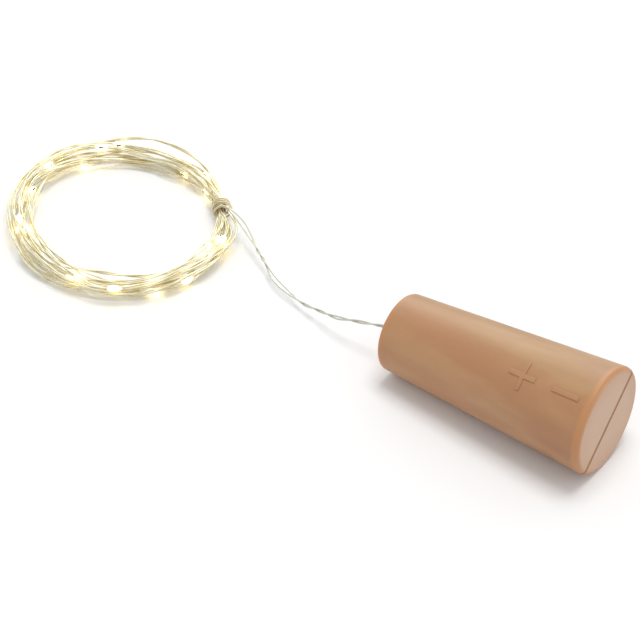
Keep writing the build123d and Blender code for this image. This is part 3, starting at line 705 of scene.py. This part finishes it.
# Button cells: three in a row between the contact plates, pressed together by the spring.
# Each is a drawn steel can with a steel cap, and a pale nylon ring seals the cap in the can.
steel_bright = (0.68, 0.68, 0.67, 1)
steel_worn = (0.47, 0.46, 0.44, 1)
nylon_pale = (0.72, 0.68, 0.57, 1)
nylon_aged = (0.60, 0.52, 0.38, 1)
ring_scale = 2600
ring_depth = 0.00003
worn_scale = 330
aged_scale = 600
cell_steel, nodes, shader = finish("cell_steel", Metallic=1.0)
out = case_places(nodes)[2]
rings = nodes.node("TexNoise", {"noise_dimensions": "1D"}, {"W": out, "Scale": ring_scale, "Detail": 2.0})
worn = nodes.noise(worn_scale, 5.0).smooth(0.50, 0.72)
worn.blend(steel_bright, steel_worn).feed(shader, "Base Color")
(0.20 + 0.14 * rings + 0.16 * worn).feed(shader, "Roughness")
nodes.bump(rings, ring_depth, 0.5).feed(shader, "Normal")
coat([f"cell_{cell}_{part}" for cell in (1, 2, 3) for part in ("can", "cap")], cell_steel)
nylon, nodes, shader = finish("cell_nylon", Specular_IOR_Level=0.4)
aged = nodes.noise(aged_scale, 3.0).smooth(0.4, 0.7)
aged.blend(nylon_pale, nylon_aged).feed(shader, "Base Color")
(0.42 + 0.15 * aged).feed(shader, "Roughness")
coat([f"cell_{cell}_gasket" for cell in (1, 2, 3)], nylon)

# Circuit board: glass cloth in resin, resting on two ledges of the housing.
# It has a green lacquer over it, through which the weave of the cloth shows faintly.
lacquer_green = (0.018, 0.115, 0.040, 1)
lacquer_light = (0.050, 0.200, 0.075, 1)
weave_scale = 1500
weave_depth = 0.00002
blotch_scale = 350
board_lacquer, nodes, shader = finish("board_lacquer", Roughness=0.22, Coat_Weight=0.5, Coat_Roughness=0.1)
place = nodes.node("TexCoord", give="Object")
rows = nodes.node("TexWave", {"bands_direction": "X"}, {"Vector": place, "Scale": weave_scale})
columns = nodes.node("TexWave", {"bands_direction": "Y"}, {"Vector": place, "Scale": weave_scale})
weave = rows * columns
paleness = 0.5 * weave + 0.4 * nodes.noise(blotch_scale, 3.0)
paleness.blend(lacquer_green, lacquer_light).feed(shader, "Base Color")
nodes.bump(weave, weave_depth, 0.5).feed(shader, "Normal")
coat(("circuit_board",), board_lacquer)

# Solder: the joints on the board and the resistor's tinned end caps.
# It is bright where it ran and grey and rippled where it cooled last.
solder_bright = (0.72, 0.73, 0.74, 1)
solder_grey = (0.42, 0.43, 0.44, 1)
dull_scale = 900
ripple_scale = 1500
ripple_depth = 0.00006
solder, nodes, shader = finish("solder", Metallic=1.0)
dull = nodes.noise(dull_scale, 4.0).smooth(0.42, 0.66)
dull.blend(solder_bright, solder_grey).feed(shader, "Base Color")
(0.18 + 0.3 * dull).feed(shader, "Roughness")
nodes.bump(nodes.noise(ripple_scale, 3.0), ripple_depth, 0.6).feed(shader, "Normal")
coat(("solder_joints", "resistor_terminals"), solder)

# Resistor body and switch slider: two small black pieces with fine grey flecks.
# The resistor is a chip under a glossy glaze, and the slider is moulded in matt plastic.
black_deep = (0.010, 0.010, 0.012, 1)
black_grey = (0.030, 0.030, 0.033, 1)
fleck_depth = 0.00003
for name, material_name, rough, fleck_scale in (
    ("resistor_body", "black_glaze", 0.16, 2400),
    ("switch_slider", "black_plastic", 0.42, 1100),
):
    black, nodes, shader = finish(material_name, Specular_IOR_Level=0.5)
    flecks = nodes.noise(fleck_scale, 3.0)
    flecks.smooth(0.45, 0.7).blend(black_deep, black_grey).feed(shader, "Base Color")
    (rough + 0.12 * flecks).feed(shader, "Roughness")
    nodes.bump(flecks, fleck_depth, 0.5).feed(shader, "Normal")
    coat((name,), black)

# Switch base: pressed paper in brown phenolic resin, whose lighter fibres lie lengthways.
# It lies between the switch's metal frame and the board, and carries the three pins.
phenolic_brown = (0.115, 0.045, 0.018, 1)
phenolic_light = (0.210, 0.095, 0.040, 1)
fibre_stretch = (0.2, 1, 1)
fibre_scale = 1300
phenolic, nodes, shader = finish("phenolic_board", Specular_IOR_Level=0.45)
place = nodes.node("TexCoord", give="Object")
stretched = nodes.node("Mapping", None, {"Vector": place, "Scale": fibre_stretch})
fibres = nodes.noise(fibre_scale, 5.0, stretched)
fibres.smooth(0.38, 0.66).blend(phenolic_brown, phenolic_light).feed(shader, "Base Color")
(0.38 + 0.2 * fibres).feed(shader, "Roughness")
coat(("switch_base",), phenolic)

# Leads inside the case, from the two contact plates to the board: wire in soft insulation.
# The positive one is red and the negative one black, and both are a little scuffed.
red_bright = (0.42, 0.012, 0.010, 1)
red_scuffed = (0.50, 0.075, 0.055, 1)
black_bright = (0.012, 0.012, 0.012, 1)
black_scuffed = (0.065, 0.065, 0.065, 1)
scuff_scale = 800
for name, material_name, bright, scuffed in (
    ("positive_lead", "red_insulation", red_bright, red_scuffed),
    ("negative_lead", "black_insulation", black_bright, black_scuffed),
):
    insulation, nodes, shader = finish(material_name, Specular_IOR_Level=0.5)
    scuffs = nodes.noise(scuff_scale, 5.0).smooth(0.55, 0.75)
    scuffs.blend(bright, scuffed).feed(shader, "Base Color")
    (0.30 + 0.25 * scuffs).feed(shader, "Roughness")
    coat((name,), insulation)

# Glue plug: hot glue behind the small end's wall, cloudy and uneven, that holds the string.
# The ends of the string's two wires run from it to the board, with the wire's own finish.
glue_clear = (0.74, 0.70, 0.58, 1)
glue_cloudy = (0.86, 0.85, 0.78, 1)
cloud_scale = 420
lump_scale = 260
lump_depth = 0.0001
glue, nodes, shader = finish("hot_glue", IOR=1.48, Subsurface_Weight=0.25, Subsurface_Scale=0.001)
clouds = nodes.noise(cloud_scale, 3.0)
clouds.smooth(0.35, 0.68).blend(glue_clear, glue_cloudy).feed(shader, "Base Color")
(0.22 + 0.2 * clouds).feed(shader, "Roughness")
nodes.bump(nodes.noise(lump_scale, 2.0), lump_depth, 0.5).feed(shader, "Normal")
coat(("strain_relief",), glue)
coat(("string_ends",), string_finish)
